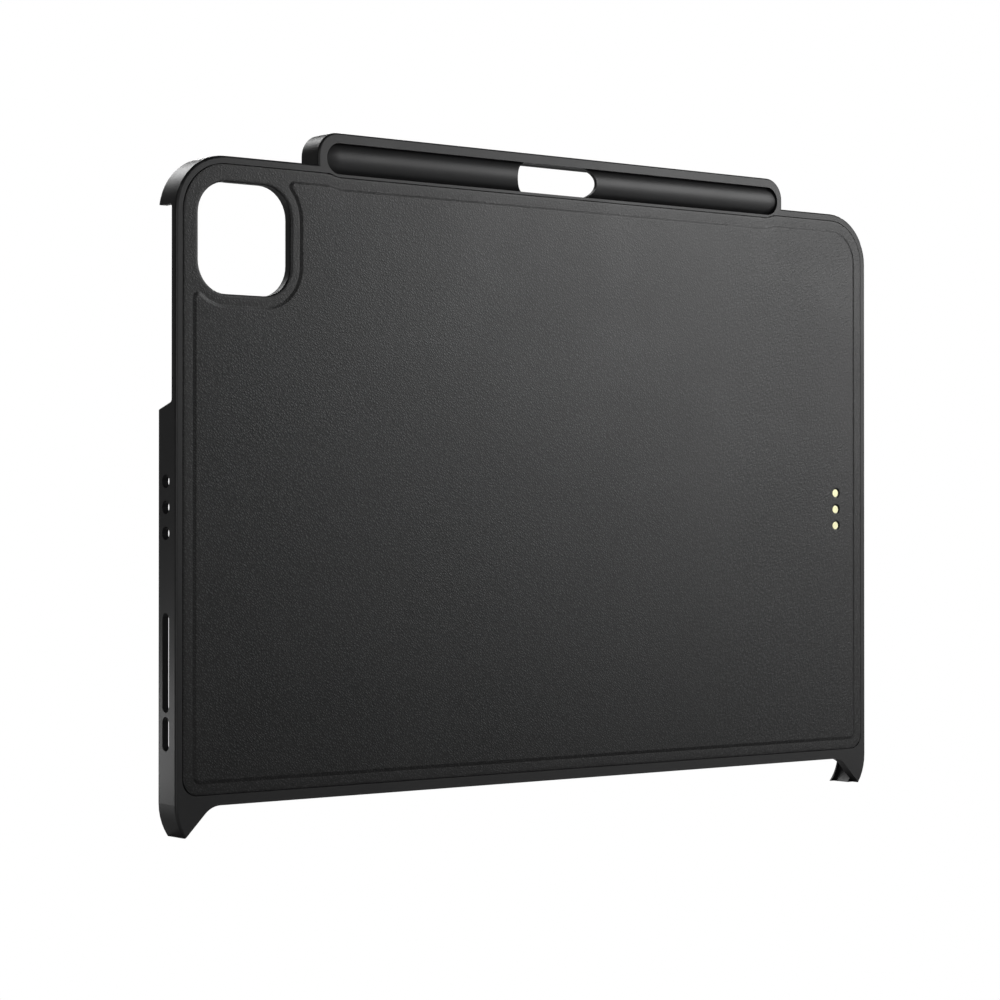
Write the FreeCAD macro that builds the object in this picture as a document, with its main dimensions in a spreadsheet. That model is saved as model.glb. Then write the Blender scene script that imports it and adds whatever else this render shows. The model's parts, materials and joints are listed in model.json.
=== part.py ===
import FreeCAD, Part
import math
import os
import re
import Sketcher

# Slim back case with a leather panel, a trough along its top and contacts through its back.
# Millimetres. +X runs along the long side, +Y from the back towards the open front, +Z is up.
# The origin lies on the raised field of the back, in line with the middle of the pocket.

SIZES = [
    ("tablet_width", 247.6, "what the pocket holds, long side"),
    ("tablet_height", 178.5, "what the pocket holds, short side"),
    ("tablet_thick", 5.9, "what the pocket holds, thickness"),
    ("tablet_corner", 12.95, "what the pocket holds, corner radius"),
    ("tablet_gap", 0.2, "room round it in the pocket"),
    ("screen_gap", 0.1, "room between it and the lip"),
    ("wall", 1.85, "side wall of the frame"),
    ("back_thick", 2.8, "back, from the rim to the lining's face"),
    ("lip_thick", 0.6, "lip at the front, thickness"),
    ("lip_reach", 0.9, "lip at the front, reach inwards"),
    ("back_edge", 0.7, "rounding of the frame's back edge"),
    ("front_edge", 1.5, "rounding of the frame's front edge"),
    ("rim_width", 2.15, "visible rim round the panel"),
    ("lower_rim", 2.93, "visible rim below the panel"),
    ("lower_edge", 12.15, "back's lower edge above the pocket's"),
    ("foot_height", 4.25, "cut ends of the legs above the pocket's"),
    ("leg_width", 10.9, "leg at the level of the back's lower edge"),
    ("leg_round", 6.5, "rounding where a leg meets the back's lower edge"),
    ("parting_gap", 0.3, "groove between rim and panel"),
    ("panel_low_corner", 4.3, "panel's lower corner radius"),
    ("leather_thick", 0.7, "panel's skin"),
    ("plateau_rise", 0.4, "raised field above the rim"),
    ("plateau_inset", 3.3, "raised field's edge inside the panel's edge"),
    ("plateau_low_corner", 3.0, "raised field's lower corner radius"),
    ("plateau_edge", 0.3, "chamfer of the raised field's edge"),
    ("floor_width", 2.5, "frame's floor between the wall and the plate"),
    ("ledge_width", 1.85, "frame's ledge under the plate"),
    ("ledge_thick", 0.8, "frame's ledge, thickness"),
    ("lower_bar", 4.4, "frame's bar below the plate"),
    ("plate_low_corner", 3.0, "plate's lower corner radius"),
    ("fit_gap", 0.1, "room round a piece in its seat"),
    ("lining_thick", 0.5, "microfibre lining"),
    ("camera_width", 28.7, "corner window along X"),
    ("camera_height", 29.1, "corner window along Z"),
    ("camera_corner", 8.5, "corner window's own corner radius"),
    ("camera_side", 6.65, "corner window from the frame's left side"),
    ("camera_top", 6.85, "corner window from the frame's top"),
    ("camera_border", 3.3, "low border round the corner window"),
    ("stylus_length", 166.0, "what the channel holds, length"),
    ("stylus_diameter", 8.9, "what the channel holds, diameter"),
    ("stylus_gap", 0.15, "room round it in the channel"),
    ("stylus_end_gap", 0.7, "room at each of its ends"),
    ("channel_round", 2.2, "rounding of the channel's ends"),
    ("trough_middle", 4.15, "trough's middle along X"),
    ("trough_end", 2.0, "trough's end walls"),
    ("trough_roof", 1.95, "trough's roof"),
    ("trough_depth", 8.0, "trough's roof and ends, from the rim inwards"),
    ("trough_corner", 6.2, "trough's upper corner radius"),
    ("trough_edge", 0.6, "rounding of the trough's back edge"),
    ("recess_half", 4.2, "recess round the bulge, half its height"),
    ("recess_drop", 0.33, "recess's middle below the channel's"),
    ("recess_left", 2.77, "trough's left end to the recess's"),
    ("recess_right", 2.0, "trough's right end to the recess's"),
    ("bulge_sink", 0.05, "bulge's crest below the rim"),
    ("bulge_dome", 4.4, "length of the bulge's domed end"),
    ("bulge_dip", 0.55, "fall of the bulge at its end"),
    ("dip_start", 3.6, "trough's end to where the panel's edge starts down"),
    ("dip_run", 2.8, "length of that slope"),
    ("dip_depth", 0.87, "how far the panel's edge goes down"),
    ("window_middle", 1.18, "push-out window's middle along X"),
    ("window_length", 29.15, "push-out window's length"),
    ("cut_top", 13.3, "cut-away side's upper end below the frame's top"),
    ("cut_bottom", 64.15, "cut-away side's lower end below the frame's top"),
    ("cut_ramp", 2.3, "fall of its lower end towards the front"),
    ("cut_floor", 2.1, "its floor from the rim inwards"),
    ("cut_round", 1.0, "its corner radius"),
    ("cut_nose", 1.9, "rounding of the wall's end above it"),
    ("side_line", 4.9, "middle of the side holes from the rim inwards"),
    ("hole_diameter", 3.5, "round side holes"),
    ("hole_pitch", 6.7, "spacing of the round side holes"),
    ("slot_width", 3.2, "side slots, width"),
    ("slot_start", 27.2, "long side slot's upper end below the middle"),
    ("long_slot", 25.7, "long side slot, length"),
    ("short_slot", 8.9, "short side slot, length"),
    ("slot_bridge", 1.0, "bridge between the side slots"),
    ("port_length", 13.0, "port window, length"),
    ("port_width", 5.0, "port window, width"),
    ("key_slot_length", 20.0, "key slot, length"),
    ("key_slot_width", 3.4, "key slot, width"),
    ("key_slot_side", 20.7, "key slot from the frame's left side"),
    ("contact_side", 13.25, "contacts from the frame's right side"),
    ("contact_pitch", 5.0, "spacing of the contacts"),
    ("contact_hole", 3.0, "holes over the contact pads"),
    ("pad_gap", 0.1, "room round a contact pad in its hole"),
    ("pad_thick", 0.75, "contact pad's button"),
    ("pad_chamfer", 0.08, "chamfer of the contact pad's edge"),
    ("stem_radius", 0.5, "contact pad's stem"),
    ("housing_width", 6.4, "contact housing along X"),
    ("housing_end", 3.2, "contact housing beyond the outer contacts"),
    ("housing_corner", 1.6, "contact housing's corner radius"),
    ("housing_wall", 0.6, "contact housing's side wall"),
    ("housing_front", 0.3, "contact housing's front wall"),
    ("flange_width", 1.2, "contact housing's flange"),
    ("flange_thick", 0.6, "contact housing's flange"),
    ("gasket_thick", 0.3, "gasket under the flange"),
    ("board_thick", 0.4, "contact board"),
    ("cover_thick", 0.3, "contact cover"),
    ("barrel_radius", 0.95, "pin barrel, outside"),
    ("barrel_wall", 0.2, "pin barrel's wall"),
    ("barrel_base", 0.15, "pin barrel's base"),
    ("barrel_lip", 0.12, "pin barrel's lip"),
    ("plunger_radius", 0.5, "sprung pin"),
    ("plunger_collar", 0.25, "sprung pin's collar, thickness"),
    ("plunger_tip", 0.25, "sprung pin's tip above its bore"),
    ("plunger_chamfer", 0.2, "chamfer of the sprung pin's tip"),
    ("pin_travel", 0.5, "sprung pin's travel"),
    ("running_gap", 0.05, "room round a sliding pin"),
    ("spring_radius", 0.24, "pin spring, middle of its wire"),
    ("spring_wire", 0.1, "pin spring's square wire"),
    ("spring_bore", 0.34, "bore in the pin for its spring"),
    ("magnet_long", 12.0, "magnets, length"),
    ("magnet_wide", 5.0, "magnets, width"),
    ("magnet_thick", 1.0, "magnets, thickness"),
    ("magnet_pitch", 20.0, "spacing of the magnets"),
    ("magnet_side", 25.85, "magnet columns from the frame's sides"),
    ("magnet_top", 14.3, "upper magnet row from the frame's top"),
    ("magnet_low", 13.1, "lower magnet row above the back's lower edge"),
    ("left_row_drop", 12.0, "left magnet row's middle below the middle"),
    ("right_row_drop", 2.0, "right magnet row's middle below the middle"),
    ("yoke_thick", 0.25, "steel strip behind the magnets"),
]

SPRING_TURNS = 3
NEAR = 1e-4
CONTACT_PLACES = {"upper": 1, "middle": 0, "lower": -1}

doc = FreeCAD.newDocument("tablet_case")
sheet = doc.addObject("Spreadsheet::Sheet", "Sizes")
for row, (alias, value, meaning) in enumerate(SIZES, 1):
    sheet.set(f"A{row}", meaning)
    sheet.set(f"B{row}", str(value))
    sheet.setAlias(f"B{row}", alias)
doc.recompute()
ALIASES = {alias for alias, value, meaning in SIZES}

# Levels along Y, from the raised field at 0 towards the front
RIM = "plateau_rise"
SEAT = "(plateau_rise + leather_thick)"
LEDGE = f"({SEAT} + ledge_thick)"
FLOOR = "(plateau_rise + back_thick)"
PLATE_TOP = f"({FLOOR} - lining_thick)"
LIP = f"({FLOOR} + tablet_thick + screen_gap)"
FRONT = f"({LIP} + lip_thick)"

# Outline of the frame and of what lies inside it
POCKET_X = "(tablet_width / 2 + tablet_gap)"
POCKET_Z = "(tablet_height / 2 + tablet_gap)"
POCKET_R = "(tablet_corner + tablet_gap)"
OUT_X = f"({POCKET_X} + wall)"
OUT_Z = f"({POCKET_Z} + wall)"
OUT_R = f"({POCKET_R} + wall)"
LOW_Z = "(lower_edge - tablet_height / 2)"
FOOT_Z = "(foot_height - tablet_height / 2)"
PLATE_INSET = "(wall + floor_width)"
LEDGE_INSET = f"({PLATE_INSET} + ledge_width)"
PLATE_LOW = f"({LOW_Z} + lower_bar)"
LEDGE_LOW = f"({PLATE_LOW} + ledge_width)"
PANEL_LOW = f"({LOW_Z} + lower_rim)"

# Trough along the upper edge
STYLUS_Y = f"({FLOOR} + tablet_thick / 2)"
STYLUS_Z = "(tablet_height / 2 + stylus_diameter / 2)"
CHANNEL_R = "(stylus_diameter / 2 + stylus_gap)"
CHANNEL_HALF = "(stylus_length / 2 + stylus_end_gap)"
CHANNEL_LEFT = f"(trough_middle - {CHANNEL_HALF})"
CHANNEL_RIGHT = f"(trough_middle + {CHANNEL_HALF})"
TROUGH_LEFT = f"({CHANNEL_LEFT} - trough_end)"
TROUGH_RIGHT = f"({CHANNEL_RIGHT} + trough_end)"
TROUGH_TOP = f"({STYLUS_Z} + {CHANNEL_R} + trough_roof)"
RECESS_Z = f"({STYLUS_Z} - recess_drop)"
RECESS_LEFT = f"({TROUGH_LEFT} + recess_left)"
RECESS_RIGHT = f"({TROUGH_RIGHT} - recess_right)"
BULGE_R = f"({STYLUS_Y} - {RIM} - bulge_sink)"

# Window in the corner
CAMERA_LEFT = f"(camera_side - {OUT_X})"
CAMERA_TOP = f"({OUT_Z} - camera_top)"

# Contact block, from the pads inwards
CONTACT_X = f"({OUT_X} - contact_side)"
HOUSING_Z = "(contact_pitch + housing_end)"
PAD_FACE = f"({SEAT} - pad_thick)"
BOARD_Y = f"({SEAT} + housing_front)"
BARREL_Y = f"({BOARD_Y} + board_thick)"
COVER_Y = f"({FLOOR} - cover_thick)"
FLANGE_Y = f"({COVER_Y} - flange_thick)"
GASKET_Y = f"({FLANGE_Y} - gasket_thick)"
SPRING_FOOT = f"({BARREL_Y} + barrel_base)"
LIP_UNDER = f"({COVER_Y} - barrel_lip)"
COLLAR_TOP = f"({LIP_UNDER} - running_gap)"
COLLAR_UNDER = f"({COLLAR_TOP} - plunger_collar)"
TIP_Y = f"({FLOOR} + pin_travel)"
BORE_END = f"({TIP_Y} - plunger_tip)"


def formula(text):
    """The text with each size's name written as a cell of the sheet."""
    return re.sub(
        r"[a-z]\w*",
        lambda word: "Sizes." + word.group() if word.group() in ALIASES else word.group(),
        text,
    )


def number(text):
    """What a formula comes to at the sheet's present sizes."""
    return float(sheet.evalExpression(formula(text)))


def bind(thing, field, text):
    thing.setExpression(field, formula(text))


def new_body(label):
    body = doc.addObject("PartDesign::Body", label)
    body.Label = label
    return body


def new_sketch(body, role, name, right="0", up="0", out="0"):
    """A sketch on one of the body's own planes, moved along that plane's own axes."""
    plane = [item for item in body.Origin.OriginFeatures if item.Role == role][0]
    sketch = body.newObject("Sketcher::SketchObject", name)
    sketch.AttachmentSupport = [(plane, "")]
    sketch.MapMode = "FlatFace"
    bind(sketch, "AttachmentOffset.Base.x", right)
    bind(sketch, "AttachmentOffset.Base.y", up)
    bind(sketch, "AttachmentOffset.Base.z", out)
    return sketch


def back_sketch(body, name, level):
    """A sketch seen from the back, X to the right and Z up, at a level along Y."""
    return new_sketch(body, "XZ_Plane", name, out=f"-({level})")


def side_sketch(body, name, across):
    """A sketch across X, with Y to the right and Z up."""
    return new_sketch(body, "YZ_Plane", name, out=across)


class Rules:
    """Collects a sketch's constraints and the formulas that drive them."""

    def __init__(self, sketch):
        self.sketch = sketch
        self.items = []
        self.drivers = []

    def add(self, *words):
        self.items.append(Sketcher.Constraint(*words))

    def drive(self, text, *words):
        self.drivers.append((len(self.items), text))
        self.add(*words, number(text))

    def place(self, part, point, x, y):
        self.drive(x, "DistanceX", -1, 1, part, point)
        self.drive(y, "DistanceY", -1, 1, part, point)

    def apply(self):
        first = self.sketch.ConstraintCount
        self.sketch.addConstraint(self.items)
        for place, text in self.drivers:
            bind(self.sketch, f"Constraints[{first + place}]", text)


def outline(sketch, corners):
    """A closed outline of straight runs. Each corner is (x, y) or (x, y, radius), as formulas."""
    count = len(corners)
    points = [FreeCAD.Vector(number(corner[0]), number(corner[1]), 0) for corner in corners]
    leave, reach, middles = [], [], []
    for place, corner in enumerate(corners):
        point = points[place]
        back = (points[place - 1] - point).normalize()
        ahead = (points[(place + 1) % count] - point).normalize()
        radius = number(corner[2]) if len(corner) > 2 else 0.0
        half = back.getAngle(ahead) / 2
        reach.append(point + back * (radius / math.tan(half)))
        leave.append(point + ahead * (radius / math.tan(half)))
        inwards = back + ahead
        if radius:
            inwards.normalize()
        middles.append(point + inwards * (radius / math.sin(half) - radius))
    first = sketch.GeometryCount
    lines = [Part.LineSegment(leave[k], reach[(k + 1) % count]) for k in range(count)]
    sketch.addGeometry(lines, False)
    sketch.addGeometry([Part.Point(point) for point in points], True)
    rules = Rules(sketch)
    for place, corner in enumerate(corners):
        line_in = first + (place - 1) % count
        line_out = first + place
        mark = first + count + place
        if len(corner) > 2:
            bend = sketch.addGeometry(Part.Arc(reach[place], middles[place], leave[place]), False)
            starts = (sketch.getPoint(bend, 1) - reach[place]).Length < NEAR
            rules.add("Tangent", line_in, 2, bend, 1 if starts else 2)
            rules.add("Tangent", bend, 2 if starts else 1, line_out, 1)
            rules.add("PointOnObject", mark, 1, line_in)
            rules.add("PointOnObject", mark, 1, line_out)
            rules.drive(corner[2], "Radius", bend)
        else:
            rules.add("Coincident", line_in, 2, mark, 1)
            rules.add("Coincident", line_out, 1, mark, 1)
        rules.place(mark, 1, corner[0], corner[1])
    rules.apply()
    return sketch


def stadium(sketch, start, end, radius):
    """A slot with round ends about two points, each (x, y) as formulas."""
    centres = [FreeCAD.Vector(number(x), number(y), 0) for x, y in (start, end)]
    along = (centres[1] - centres[0]).normalize()
    reach = number(radius)
    aside = FreeCAD.Vector(-along.y, along.x, 0) * reach
    first = sketch.GeometryCount
    sketch.addGeometry([
        Part.LineSegment(centres[0] - aside, centres[1] - aside),
        Part.Arc(centres[1] - aside, centres[1] + along * reach, centres[1] + aside),
        Part.LineSegment(centres[1] + aside, centres[0] + aside),
        Part.Arc(centres[0] + aside, centres[0] - along * reach, centres[0] - aside),
    ], False)
    rules = Rules(sketch)
    for place in range(4):
        rules.add("Tangent", first + place, 2, first + (place + 1) % 4, 1)
    rules.place(first + 3, 3, *start)
    rules.place(first + 1, 3, *end)
    rules.add("Equal", first + 1, first + 3)
    rules.drive(radius, "Radius", first + 1)
    rules.apply()
    return sketch


def circle(sketch, x, y, radius):
    centre = FreeCAD.Vector(number(x), number(y), 0)
    ring = sketch.addGeometry(Part.Circle(centre, FreeCAD.Vector(0, 0, 1), number(radius)), False)
    rules = Rules(sketch)
    rules.place(ring, 3, x, y)
    rules.drive(radius, "Radius", ring)
    rules.apply()
    return sketch


def rectangle(sketch, left, right, low, high):
    return outline(sketch, [(left, low), (right, low), (right, high), (left, high)])


def pad(body, name, sketch, length):
    """Material from the sketch towards the front."""
    feature = body.newObject("PartDesign::Pad", name)
    feature.Profile = sketch
    feature.Reversed = True
    bind(feature, "Length", length)
    doc.recompute()
    return feature


def pocket(body, name, sketch, length, turned=False):
    """A cut from the sketch: towards the front, the left or downwards, or turned the other way."""
    before = body.Shape.Volume
    feature = body.newObject("PartDesign::Pocket", name)
    feature.Profile = sketch
    feature.Reversed = turned
    bind(feature, "Length", length)
    doc.recompute()
    if body.Shape.Volume > before - NEAR:
        raise RuntimeError(f"{name} cuts nothing")
    return feature


def repeat(body, name, feature, axis, length, count):
    """Copies of a feature in a row along its sketch's own axis."""
    row_of = body.newObject("PartDesign::LinearPattern", name)
    row_of.Originals = [feature]
    row_of.Direction = (feature.Profile[0], [axis])
    bind(row_of, "Length", length)
    row_of.Occurrences = count
    body.Tip = row_of
    doc.recompute()
    return row_of


def break_edges(body, name, size, wanted, kind="Fillet"):
    """Rounds or chamfers the edges of the body so far whose middle points satisfy a test."""
    base = body.Tip
    names = []
    for place, edge in enumerate(base.Shape.Edges, 1):
        middle = edge.valueAt((edge.FirstParameter + edge.LastParameter) / 2)
        if wanted(middle):
            names.append(f"Edge{place}")
    feature = body.newObject(f"PartDesign::{kind}", name)
    feature.Base = (base, names)
    bind(feature, "Radius" if kind == "Fillet" else "Size", size)
    doc.recompute()
    return feature


def turned_body(label, place, corners):
    """A body turned about the axis of one contact. Corners are (radius, level along Y)."""
    body = new_body(label)
    profile = new_sketch(body, "XY_Plane", label + "_profile", right=CONTACT_X, out=place)
    outline(profile, corners)
    turn = body.newObject("PartDesign::Revolution", label + "_turn")
    turn.Profile = profile
    turn.ReferenceAxis = (profile, ["V_Axis"])
    turn.Angle = 360
    doc.recompute()
    return body


def at_level(level):
    height = number(level)
    return lambda point: abs(point.y - height) < NEAR


def ring_outline(inset, low, low_corner):
    """The frame's outline drawn in by an inset, closed below at its own level."""
    half = f"({OUT_X} - {inset})"
    top = f"({OUT_Z} - {inset})"
    corner = f"({OUT_R} - {inset})"
    return [
        (f"-{half}", low, low_corner),
        (half, low, low_corner),
        (half, top, corner),
        (f"-{half}", top, corner),
    ]


def panel_outline(inset, low_corner):
    """The panel's outline drawn in by an inset. Its upper edge goes down under the trough."""
    half = f"({OUT_X} - rim_width - {inset})"
    top = f"({OUT_Z} - rim_width - {inset})"
    corner = f"({OUT_R} - rim_width - {inset})"
    low = f"({PANEL_LOW} + {inset})"
    under = f"({top} - dip_depth)"
    return [
        (f"-{half}", low, low_corner),
        (half, low, low_corner),
        (half, top, corner),
        (f"{TROUGH_RIGHT} - dip_start", top),
        (f"{TROUGH_RIGHT} - dip_start - dip_run", under),
        (f"{TROUGH_LEFT} + dip_start + dip_run", under),
        (f"{TROUGH_LEFT} + dip_start", top),
        (f"-{half}", top, corner),
    ]


def camera_outline(margin):
    """The corner window's outline with a margin round it."""
    left = f"({CAMERA_LEFT} - {margin})"
    right = f"({CAMERA_LEFT} + camera_width + {margin})"
    low = f"({CAMERA_TOP} - camera_height - {margin})"
    high = f"({CAMERA_TOP} + {margin})"
    corner = f"(camera_corner + {margin})"
    return [(left, low, corner), (right, low, corner), (right, high, corner), (left, high, corner)]


def contact_outline(margin):
    """The contact housing's outline with a margin round it."""
    left = f"({CONTACT_X} - housing_width / 2 - {margin})"
    right = f"({CONTACT_X} + housing_width / 2 + {margin})"
    reach = f"({HOUSING_Z} + {margin})"
    corner = f"(housing_corner + {margin})"
    return [
        (left, f"-{reach}", corner),
        (right, f"-{reach}", corner),
        (right, reach, corner),
        (left, reach, corner),
    ]


def contact_circles(sketch, radius):
    for step in CONTACT_PLACES.values():
        circle(sketch, CONTACT_X, f"contact_pitch * {step}", radius)
    return sketch


def side_window(body, name, level, reach):
    """Cuts the left wall away between the upper corner and the ramp, from a level to the front."""
    upper = f"({OUT_Z} - cut_top)"
    lower = f"({OUT_Z} - cut_bottom)"
    front = f"({FRONT} + running_gap)"
    beyond = f"({front} + wall)"
    ramp = f"({lower} - cut_ramp)"
    sketch = side_sketch(body, name + "_outline", f"-({OUT_X} + wall)")
    outline(sketch, [
        (level, lower, "cut_round"),
        (front, ramp, "cut_round"),
        (front, f"{ramp} - 2 * cut_round"),
        (beyond, f"{ramp} - 2 * cut_round"),
        (beyond, f"{upper} + 2 * cut_nose"),
        (front, f"{upper} + 2 * cut_nose"),
        (front, upper, "cut_nose"),
        (level, upper, "cut_round"),
    ])
    pocket(body, name, sketch, f"wall + {reach}", turned=True)


def make_trough_block():
    """The trough's outer shape, standing on the frame's upper edge."""
    block = new_body("trough_block")
    front = back_sketch(block, "trough_outline", RIM)
    outline(front, [
        (TROUGH_LEFT, f"{POCKET_Z} - 2 * wall"),
        (TROUGH_RIGHT, f"{POCKET_Z} - 2 * wall"),
        (TROUGH_RIGHT, TROUGH_TOP, "trough_corner"),
        (TROUGH_LEFT, TROUGH_TOP, "trough_corner"),
    ])
    pad(block, "trough", front, "trough_depth")
    low = number(f"{POCKET_Z} - 2 * wall")
    on_rim = at_level(RIM)
    break_edges(
        block, "trough_back_edge", "trough_edge",
        lambda point: on_rim(point) and point.z > low + NEAR,
    )
    return block


def make_frame():
    frame = new_body("bumper_frame")
    slab = back_sketch(frame, "slab_outline", RIM)
    outline(slab, ring_outline("0", f"-{OUT_Z}", OUT_R))
    pad(frame, "slab", slab, f"{FRONT} - {RIM}")
    break_edges(frame, "slab_back_edge", "back_edge", at_level(RIM))
    break_edges(frame, "slab_front_edge", "front_edge", at_level(FRONT))

    joined = frame.newObject("PartDesign::Boolean", "trough_joined")
    joined.setObjects([make_trough_block()])
    joined.Type = "Fuse"
    doc.recompute()
    make_trough(frame)

    tablet = back_sketch(frame, "tablet_outline", FLOOR)
    outline(tablet, ring_outline("wall", f"-{POCKET_Z}", POCKET_R))
    pocket(frame, "tablet_pocket", tablet, f"{LIP} - {FLOOR}")
    screen = back_sketch(frame, "screen_outline", LIP)
    screen_low = f"-({POCKET_Z} - lip_reach)"
    outline(screen, ring_outline("(wall + lip_reach)", screen_low, f"{POCKET_R} - lip_reach"))
    pocket(frame, "screen_opening", screen, "lip_thick + wall")
    recess = back_sketch(frame, "plate_outline", LEDGE)
    outline(recess, ring_outline(PLATE_INSET, PLATE_LOW, "plate_low_corner"))
    pocket(frame, "plate_recess", recess, f"{FLOOR} - {LEDGE}")
    opening = back_sketch(frame, "ledge_outline", RIM)
    outline(opening, ring_outline(LEDGE_INSET, LEDGE_LOW, "plate_low_corner"))
    pocket(frame, "back_opening", opening, f"{LEDGE} - {RIM}")
    seat = back_sketch(frame, "seat_outline", RIM)
    outline(seat, panel_outline("(-parting_gap / 2)", "panel_low_corner"))
    pocket(frame, "panel_seat", seat, "leather_thick")

    foot = back_sketch(frame, "foot_outline", RIM)
    rectangle(foot, f"-{OUT_X} - wall", f"{OUT_X} + wall", f"-{OUT_Z} - wall", FOOT_Z)
    pocket(frame, "foot_cut", foot, f"{FRONT} - {RIM}")
    leg_x = f"({OUT_X} - leg_width)"
    fall = f"({LOW_Z} + {OUT_Z} + wall)"
    lower = back_sketch(frame, "lower_outline", RIM)
    outline(lower, [
        (f"-{leg_x} - {fall}", f"{LOW_Z} - {fall}"),
        (f"{leg_x} + {fall}", f"{LOW_Z} - {fall}"),
        (leg_x, LOW_Z, "leg_round"),
        (f"-{leg_x}", LOW_Z, "leg_round"),
    ])
    pocket(frame, "lower_cut", lower, "back_thick")

    make_side_openings(frame)
    return frame


def make_trough(frame):
    """Hollows the trough: a half-round wall bulges in a long recess, with a round channel inside."""
    recess = back_sketch(frame, "recess_outline", RIM)
    stadium(
        recess,
        (f"{RECESS_LEFT} + recess_half", RECESS_Z),
        (f"{RECESS_RIGHT} - recess_half", RECESS_Z),
        "recess_half",
    )
    pocket(frame, "recess", recess, f"{STYLUS_Y} - {RIM}")
    make_bulge(frame)
    make_channel(frame)
    window = back_sketch(frame, "window_outline", RIM)
    reach = "(window_length / 2 - recess_half)"
    stadium(
        window,
        (f"window_middle - {reach}", RECESS_Z),
        (f"window_middle + {reach}", RECESS_Z),
        "recess_half",
    )
    pocket(frame, "push_out_window", window, f"{STYLUS_Y} - {RIM}")
    mouth = back_sketch(frame, "mouth_outline", STYLUS_Y)
    rectangle(
        mouth,
        CHANNEL_LEFT,
        CHANNEL_RIGHT,
        f"{POCKET_Z} - lip_reach - wall",
        STYLUS_Z,
    )
    pocket(frame, "stylus_mouth", mouth, f"{FRONT} - {STYLUS_Y} + wall")


def make_bulge(frame):
    """Half-round wall with domed ends, turned about the channel's own axis."""
    profile = new_sketch(frame, "XY_Plane", "bulge_profile", up=STYLUS_Y, out=STYLUS_Z)
    left, right = number(RECESS_LEFT), number(RECESS_RIGHT)
    crest = number(BULGE_R)
    dome, dip = number("bulge_dome"), number("bulge_dip")
    dome_radius = (dome * dome + dip * dip) / (2 * dip)
    half_turn = math.asin(dome / dome_radius) / 2
    sag = dome_radius * (1 - math.cos(half_turn))
    run = dome_radius * math.sin(half_turn)
    spots = [
        FreeCAD.Vector(left, 0, 0),
        FreeCAD.Vector(left, dip - crest, 0),
        FreeCAD.Vector(left + dome, -crest, 0),
        FreeCAD.Vector(right - dome, -crest, 0),
        FreeCAD.Vector(right, dip - crest, 0),
        FreeCAD.Vector(right, 0, 0),
    ]
    on_left = FreeCAD.Vector(left + dome - run, sag - crest, 0)
    on_right = FreeCAD.Vector(right - dome + run, sag - crest, 0)
    profile.addGeometry([
        Part.LineSegment(spots[0], spots[1]),
        Part.Arc(spots[1], on_left, spots[2]),
        Part.LineSegment(spots[2], spots[3]),
        Part.Arc(spots[3], on_right, spots[4]),
        Part.LineSegment(spots[4], spots[5]),
        Part.LineSegment(spots[5], spots[0]),
    ], False)
    rules = Rules(profile)
    rules.add("Coincident", 0, 1, 5, 2)
    rules.add("Coincident", 4, 2, 5, 1)
    joined = [(0, 2, spots[1]), (2, 1, spots[2]), (2, 2, spots[3]), (4, 1, spots[4])]
    for curve, point, spot in joined:
        for arc in (1, 3):
            for end in (1, 2):
                if (profile.getPoint(arc, end) - spot).Length < NEAR:
                    rules.add("Tangent" if curve == 2 else "Coincident", curve, point, arc, end)
    rules.place(0, 1, RECESS_LEFT, "0")
    rules.place(4, 2, RECESS_RIGHT, "0")
    rules.place(2, 1, f"{RECESS_LEFT} + bulge_dome", f"-{BULGE_R}")
    rules.place(2, 2, f"{RECESS_RIGHT} - bulge_dome", f"-{BULGE_R}")
    rules.place(0, 2, RECESS_LEFT, f"bulge_dip - {BULGE_R}")
    rules.place(4, 1, RECESS_RIGHT, f"bulge_dip - {BULGE_R}")
    rules.apply()
    bulge = frame.newObject("PartDesign::Revolution", "bulge")
    bulge.Profile = profile
    bulge.ReferenceAxis = (profile, ["H_Axis"])
    bulge.Angle = 180
    bulge.Midplane = True
    doc.recompute()


def make_channel(frame):
    """Round channel with rounded ends, turned about its own axis."""
    profile = new_sketch(frame, "XY_Plane", "channel_profile", up=STYLUS_Y, out=STYLUS_Z)
    outline(profile, [
        (CHANNEL_LEFT, "0"),
        (CHANNEL_RIGHT, "0"),
        (CHANNEL_RIGHT, CHANNEL_R, "channel_round"),
        (CHANNEL_LEFT, CHANNEL_R, "channel_round"),
    ])
    channel = frame.newObject("PartDesign::Groove", "channel")
    channel.Profile = profile
    channel.ReferenceAxis = (profile, ["H_Axis"])
    channel.Angle = 360
    doc.recompute()


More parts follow.
